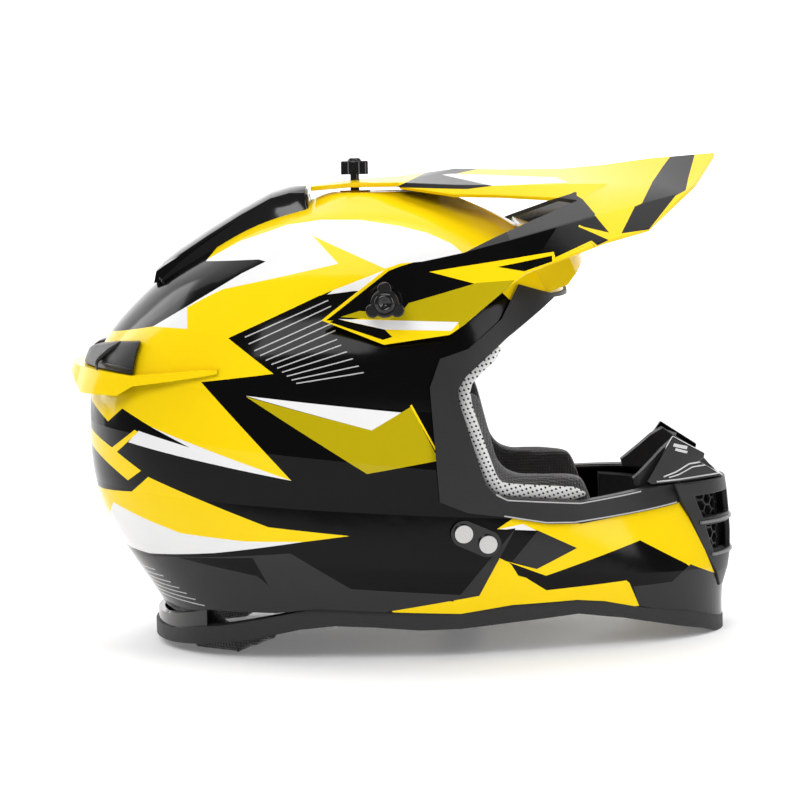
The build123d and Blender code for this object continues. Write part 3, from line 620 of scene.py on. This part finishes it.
def chin_cage():
    """The chin vent's front with its four windows, the plate behind its middle and two fins."""
    mesh = bmesh.new()
    grid = [[mesh.verts.new(cage_point(-1 + 2 * i / CAGE_COLUMNS, CAGE_LOW + CAGE_TALL * j / CAGE_ROWS))
             for i in range(CAGE_COLUMNS + 1)] for j in range(CAGE_ROWS + 1)]
    for j in range(CAGE_ROWS):
        level = CAGE_LOW + CAGE_TALL * (j + 0.5) / CAGE_ROWS
        for i in range(CAGE_COLUMNS):
            share = abs(-1 + 2 * (i + 0.5) / CAGE_COLUMNS)
            open_here = (WINDOW_ACROSS[0] < share < WINDOW_ACROSS[1]
                         and any(low < level < high for low, high in CAGE_WINDOWS))
            if not open_here:
                mesh.faces.new((grid[j][i], grid[j][i + 1], grid[j + 1][i + 1], grid[j + 1][i]))
    loose = [v for v in mesh.verts if not v.link_faces]
    bmesh.ops.delete(mesh, geom=loose, context="VERTS")
    bmesh.ops.recalc_face_normals(mesh, faces=mesh.faces)
    piece = new_piece("chin_cage", mesh, satin_black, "root")
    thicken(piece, 0.003, -1.0)
    edge = round_edges(piece, 0.0006)
    edge.limit_method = "ANGLE"
    edge.angle_limit = math.radians(40.0)
    apply_all(piece)
    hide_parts("chin_vent_frame")
    divider = bmesh.new()
    front = [cage_point(0.0, 26 + 58 * k / 12, 0.002) for k in range(13)]
    back = [place - Vector((0.004 + 0.018 * k / 12, 0.0, 0.0)) for k, place in enumerate(front)]
    divider.faces.new([divider.verts.new(p) for p in front + back[::-1]])
    plate = new_piece("chin_divider", divider, foam_black, "root")
    thicken(plate, 0.003)
    round_edges(plate, 0.0005)
    apply_all(plate)
    for number, level in enumerate(FIN_LEVELS):
        blade = bmesh.new()
        lines = []
        for back in (-0.0012, 0.009):
            lines.append([blade.verts.new(cage_point(-0.92 + 1.84 * i / 40, level, back)) for i in range(41)])
        for i in range(40):
            blade.faces.new((lines[0][i], lines[0][i + 1], lines[1][i + 1], lines[1][i]))
        fin = new_piece("chin_fin_%d" % number, blade, grey_fin, "root")
        thicken(fin, 0.0016)
        round_edges(fin, 0.0004)
        apply_all(fin)


def honeycomb(pitch=6.4, wire=0.00055):
    """Hexagonal mesh behind the cage's windows."""
    mesh = bmesh.new()
    side = pitch / math.sqrt(3.0)
    for column in range(-9, 10):
        for row in range(9):
            middle_y = column * side * 1.5
            middle_z = 41.5 + (row + 0.5 * (column % 2)) * pitch
            if middle_z > 80 or abs(middle_y) > 47:
                continue
            corners = []
            for k in range(6):
                y = middle_y + side * math.cos(k * math.pi / 3)
                z = min(max(middle_z + side * math.sin(k * math.pi / 3), 26.0), 83.0)
                half = 1000 * abs(cage_point(1.0, z, CAGE_BACK).y)
                corners.append(mesh.verts.new(cage_point(max(-1.0, min(1.0, y / half)), z, CAGE_BACK)))
            mesh.faces.new(corners)
    bmesh.ops.remove_doubles(mesh, verts=mesh.verts, dist=2e-4)
    mesh.faces.ensure_lookup_table()
    whole = [f for f in mesh.faces if f.calc_area() > 5e-6]
    inner = bmesh.ops.inset_individual(mesh, faces=whole, thickness=wire)["faces"]
    hexagons = [f for f in mesh.faces if f not in set(inner)]
    bmesh.ops.delete(mesh, geom=hexagons, context="FACES_ONLY")
    piece = new_piece("chin_honeycomb", mesh, satin_black, "root")
    thicken(piece, 0.0014)
    apply_all(piece)
    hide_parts("chin_vent_mesh")


chin_cage()
honeycomb()


# ------------------------------------------------------------------ white mesh edging of the port
EDGING = [(54.0, 166.0), (42.0, 156.0), (35.5, 149.0), (33.8, 143.0), (34.8, 135.0), (37.6, 126.0),
          (42.4, 110.5), (47.0, 97.0),
          (49.4, 92.6), (53.6, 90.0), (60.0, 88.9), (75.0, 87.2), (90.0, 85.4), (99.0, 84.2)]
EDGING_HALF = 0.0037
EDGING_BULGE = 0.0022
RIB_HALF, RIB_BULGE = 0.0014, 0.0022
SILL_HALF, SILL_BULGE = 0.0011, 0.0018
RIBBON_SIDES = 16
LINE_STEP = 2.5
VENT_RIB = [(-150.2, 170.8), (-158.0, 165.4), (-164.6, 159.6), (-163.6, 155.0)]
VENT_SILL = [(-143.5, 156.5), (-150.0, 157.3), (-158.0, 158.3), (-166.0, 159.4)]


def surface_of(node):
    """The CAD node's faces, for casting rays at."""
    mesh = bmesh.new()
    mesh.from_mesh(nodes[node].data)
    tree = BVHTree.FromBMesh(mesh)
    mesh.free()
    return tree


def lay_on(side, node, outline):
    """Points at small steps along an outline, with how far from the middle the node's outer face is."""
    tree = surface_of(node)
    line = []
    for a, b in zip(outline, outline[1:]):
        steps = max(2, round(math.dist(a, b) / LINE_STEP))
        line += [(a[0] + (b[0] - a[0]) * i / steps, a[1] + (b[1] - a[1]) * i / steps) for i in range(steps)]
    line.append(outline[-1])
    inwards = Vector((0.0, -side, 0.0))
    hits = [tree.ray_cast(Vector((x / 1000, side * 0.3, z / 1000)), inwards)[0] for x, z in line]
    known = [abs(hit.y) for hit in hits if hit]
    depths = [abs(hit.y) if hit else known[0] for hit in hits]
    for _ in range(6):
        evened = [(a + b + c) / 3 for a, b, c in zip(depths, depths[1:], depths[2:])]
        depths = [depths[0]] + evened + [depths[-1]]
    return line, depths


def ribbon(name, side, node, outline, half, bulge, material):
    """A rounded ribbon that follows an outline over a node's outer face."""
    line, depths = lay_on(side, node, outline)
    mesh = bmesh.new()
    rings = []
    count = len(line)
    for k, ((x, z), depth) in enumerate(zip(line, depths)):
        before, after = line[max(0, k - 1)], line[min(count - 1, k + 1)]
        dx, dz = after[0] - before[0], after[1] - before[1]
        size = math.hypot(dx, dz)
        taper = min(1.0, 0.25 + min(k, count - 1 - k) / 4)
        ring = []
        for step in range(RIBBON_SIDES):
            angle = 2 * math.pi * step / RIBBON_SIDES
            out = math.copysign(abs(math.cos(angle)) ** 0.7, math.cos(angle)) * half * taper
            proud = math.sin(angle) * bulge * taper
            ring.append(mesh.verts.new((x / 1000 - dz / size * out, side * (depth + 0.001 + proud),
                                        z / 1000 + dx / size * out)))
        rings.append(ring)
    for first, second in zip(rings, rings[1:]):
        for step in range(RIBBON_SIDES):
            after = (step + 1) % RIBBON_SIDES
            mesh.faces.new((first[step], first[after], second[after], second[step]))
    mesh.faces.new(rings[0])
    mesh.faces.new(rings[-1])
    bmesh.ops.recalc_face_normals(mesh, faces=mesh.faces)
    piece = new_piece(name, mesh, material, "root")
    subdivided(piece)
    return piece


for hand, side in (("right", -1), ("left", 1)):
    edging = ribbon("port_edging_" + hand, side, "cheek_pad_" + hand, EDGING, EDGING_HALF, EDGING_BULGE,
                    white_mesh)
    ribbon("rear_vent_rib_" + hand, side, "rear_vent_" + hand, VENT_RIB, RIB_HALF, RIB_BULGE,
           satin_black)
    ribbon("rear_vent_sill_" + hand, side, "rear_vent_" + hand, VENT_SILL, SILL_HALF, SILL_BULGE,
           satin_black)


# ------------------------------------------------------------------ raised spine at the back of the crown
# X, height and half width in millimetres
SPINE = [(-133.0, 202.0, 20.0), (-132.6, 204.5, 21.0), (-129.5, 211.7, 22.5), (-119.8, 218.7, 23.5),
         (-102.8, 229.5, 24.5), (-85.7, 239.7, 25.0),
         (-68.8, 248.6, 26.5), (-58.0, 251.6, 27.0), (-49.5, 251.4, 27.0), (-47.6, 246.0, 26.0)]
# share of the half width, and drop below the ridge in millimetres; None is on the shell
SPINE_ACROSS = [(-1.22, None), (-1.0, 3.2), (-0.62, 1.0), (0.0, 0.0), (0.62, 1.0), (1.0, 3.2), (1.22, None)]


def spine():
    """A gloss ridge that sits on the shell, stepped at its rear end."""
    tree = surface_of("outer_shell")
    mesh = bmesh.new()
    rows = []
    for x, height, half in SPINE:
        row = []
        for share, drop in SPINE_ACROSS:
            y = share * half / 1000
            hit = tree.ray_cast(Vector((x / 1000, y, 0.4)), Vector((0.0, 0.0, -1.0)))[0]
            ground = hit.z - 0.0008
            level = ground if drop is None else max(ground, (height - drop) / 1000)
            row.append(mesh.verts.new((x / 1000, y, level)))
        rows.append(row)
    for first, second in zip(rows, rows[1:]):
        for k in range(len(SPINE_ACROSS) - 1):
            mesh.faces.new((first[k], second[k], second[k + 1], first[k + 1]))
    bmesh.ops.recalc_face_normals(mesh, faces=mesh.faces)
    piece = new_piece("crown_spine", mesh, gloss_black, "root")
    thicken(piece, 0.0012, -1.0)
    edge = round_edges(piece, 0.0012, 3)
    edge.angle_limit = math.radians(18.0)
    edge.harden_normals = True
    apply_all(piece)
    piece.data.shade_smooth()


spine()


# ------------------------------------------------------------------ pads
def near_edging(x, z):
    """Distance in metres from the port's edging line, seen from the side."""
    best = 1.0
    for a, b in zip(EDGING, EDGING[1:]):
        ax, az, bx, bz = a[0] / 1000, a[1] / 1000, b[0] / 1000, b[1] / 1000
        t = ((x - ax) * (bx - ax) + (z - az) * (bz - az)) / ((bx - ax) ** 2 + (bz - az) ** 2)
        t = max(0.0, min(1.0, t))
        best = min(best, math.hypot(x - ax - t * (bx - ax), z - az - t * (bz - az)))
    return best


VOXEL = 0.005
PRESSURE = 4.0
STIFFNESS = 20
LAST_FRAME = 20
# where the pad's inner part rises: how far from the middle it fades out, over what width, and around the port
INNER_EDGE, INNER_FADE = 0.090, 0.012
PORT_MIDDLE = (0.085, 0.150)
RISE_REACH, RISE_WIDTH = 0.03, 0.011


def cushion(node, shrink, cap, rise):
    """A cloth-simulated pad that stands for a CAD pad, its inner part rising above the port's edging."""
    piece = nodes[node].copy()
    piece.data = nodes[node].data.copy()
    piece.name = node + "_padded"
    piece.parent = None
    for key in list(piece.keys()):
        del piece[key]
    piece.hide_render = False
    bpy.context.scene.collection.objects.link(piece)
    even = piece.modifiers.new("even", "REMESH")
    even.mode = "VOXEL"
    even.voxel_size = VOXEL
    apply_all(piece)
    start = [v.co.copy() for v in piece.data.vertices]
    normals = [v.normal.copy() for v in piece.data.vertices]
    for v, n in zip(piece.data.vertices, normals):
        v.co = v.co - n * shrink
    cloth = piece.modifiers.new("fill", "CLOTH")
    cloth.settings.use_pressure = True
    cloth.settings.uniform_pressure_force = PRESSURE
    cloth.settings.quality = 6
    cloth.settings.tension_stiffness = STIFFNESS
    cloth.settings.compression_stiffness = STIFFNESS
    cloth.settings.effector_weights.gravity = 0.0
    cloth.point_cache.frame_start = 1
    cloth.point_cache.frame_end = LAST_FRAME
    for number in range(1, LAST_FRAME + 1):
        bpy.context.scene.frame_set(number)
    apply_all(piece)
    bpy.context.scene.frame_set(1)
    for v, place in zip(piece.data.vertices, start):
        step = v.co - place
        if step.length > cap:
            v.co = place + step * (cap / step.length)
    for v in piece.data.vertices:
        inner = max(0.0, min(1.0, (INNER_EDGE - abs(v.co.y)) / INNER_FADE))
        reach = near_edging(v.co.x, v.co.z)
        if rise and inner and reach < RISE_REACH:
            towards = Vector((PORT_MIDDLE[0] - v.co.x, 0.0, PORT_MIDDLE[1] - v.co.z)).normalized()
            v.co += towards * rise * inner * math.exp(-(reach / RISE_WIDTH) ** 2)
    subdivided(piece)
    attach(piece, "root")
    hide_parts(node)
    return piece


for pad_node, pad_fill, pad_shrink, pad_cap, pad_rise in (
    ("cheek_pad_right", 0.7, 0.0018, 0.003, 0.006),
    ("cheek_pad_left", 0.7, 0.0018, 0.003, 0.006),
    ("comfort_liner", 0.5, 0.0012, 0.002, 0.0),
    ("neck_roll", 0.7, 0.0015, 0.0025, 0.0),
):
    dress(cushion(pad_node, pad_shrink, pad_cap, pad_rise), pad_fabric)


# ------------------------------------------------------------------ floor, light and camera
def area_light(name, place, aim, size, power):
    """A soft rectangular light."""
    lamp = bpy.data.lights.new(name, "AREA")
    lamp.shape = "RECTANGLE"
    lamp.size, lamp.size_y = size
    lamp.energy = power
    made = bpy.data.objects.new(name, lamp)
    made.location = place
    made.rotation_euler = (Vector(aim) - Vector(place)).to_track_quat("-Z", "Y").to_euler()
    bpy.context.scene.collection.objects.link(made)


# name, place, what it aims at, size in metres, watts
LIGHTS = [
    ("key", (-0.5, -1.5, 1.3), (0.0, 0.0, 0.12), (1.2, 0.9), 20),
    ("front", (1.5, -0.9, 0.7), (0.0, 0.0, 0.12), (0.7, 1.2), 11),
    ("back", (-1.4, 0.9, 0.8), (0.0, 0.0, 0.12), (0.8, 1.2), 10),
    ("top", (0.1, 0.2, 1.8), (0.0, 0.0, 0.1), (1.6, 1.2), 19),
]
for light in LIGHTS:
    area_light(*light)

PURE_WHITE = (1.0, 1.0, 1.0, 1.0)
PALE = (0.9, 0.9, 0.9)
WORLD_STRENGTH = 0.22
FLOOR_GLOW = 0.14
BACKDROP_GLOW = 0.9
STAGE_SHADE = 0.02


def sheet_of(name, size):
    """A flat square in the scene, with its middle at the origin."""
    mesh = bmesh.new()
    bmesh.ops.create_grid(mesh, x_segments=8, y_segments=8, size=size)
    data = bpy.data.meshes.new(name)
    mesh.to_mesh(data)
    mesh.free()
    made = bpy.data.objects.new(name, data)
    bpy.context.scene.collection.objects.link(made)
    return made


def glowing(paint, strength):
    """Lets a paint give off white light."""
    paint.shader.inputs["Emission Color"].default_value = PURE_WHITE
    paint.shader.inputs["Emission Strength"].default_value = strength


world = bpy.data.worlds.new("studio")
bpy.context.scene.world = world
bpy.context.scene.view_settings.view_transform = "Standard"
world.use_nodes = True
world.node_tree.nodes["Background"].inputs["Color"].default_value = PURE_WHITE
world.node_tree.nodes["Background"].inputs["Strength"].default_value = WORLD_STRENGTH

floor = sheet_of("floor", 6.0)
floor_paint = Paint("floor_pale", PALE, rough=0.7)
floor_paint.raise_by(floor_paint.noise(60.0), 0.0001)
glowing(floor_paint, FLOOR_GLOW)
dress(floor, floor_paint.finish(shade=STAGE_SHADE))

backdrop = sheet_of("backdrop", 4.0)
backdrop.location = (0.0, 3.0, 2.0)
backdrop.rotation_euler = (math.radians(90.0), 0.0, 0.0)
wall_paint = Paint("backdrop_white", PALE, rough=0.9)
glowing(wall_paint, BACKDROP_GLOW)
dress(backdrop, wall_paint.finish(shade=STAGE_SHADE))

# the camera leans a little to its side, looks down by DROP, and its target is in the middle of the picture
LEAN = math.radians(1.3)
DROP = math.radians(5.0)
TARGET = Vector((0.0, 0.0, 0.1303))
DISTANCE = 1.9
LENS = 152.7
SENSOR_WIDTH = 36.0
tall = Vector((math.sin(LEAN), 0.0, math.cos(LEAN)))
ahead = Vector((0.0, 1.0, 0.0)) * math.cos(DROP) - tall * math.sin(DROP)
view = bpy.data.cameras.new("view")
view.lens = LENS
view.sensor_width = SENSOR_WIDTH
camera = bpy.data.objects.new("view", view)
bpy.context.scene.collection.objects.link(camera)
up = tall * math.cos(DROP) + Vector((0.0, 1.0, 0.0)) * math.sin(DROP)
right = Vector((math.cos(LEAN), 0.0, -math.sin(LEAN)))
turned = camera.matrix_world.copy()
for row in range(3):
    turned[row][0], turned[row][1], turned[row][2] = right[row], up[row], -ahead[row]
    turned[row][3] = (TARGET - ahead * DISTANCE)[row]
camera.matrix_world = turned
bpy.context.scene.camera = camera
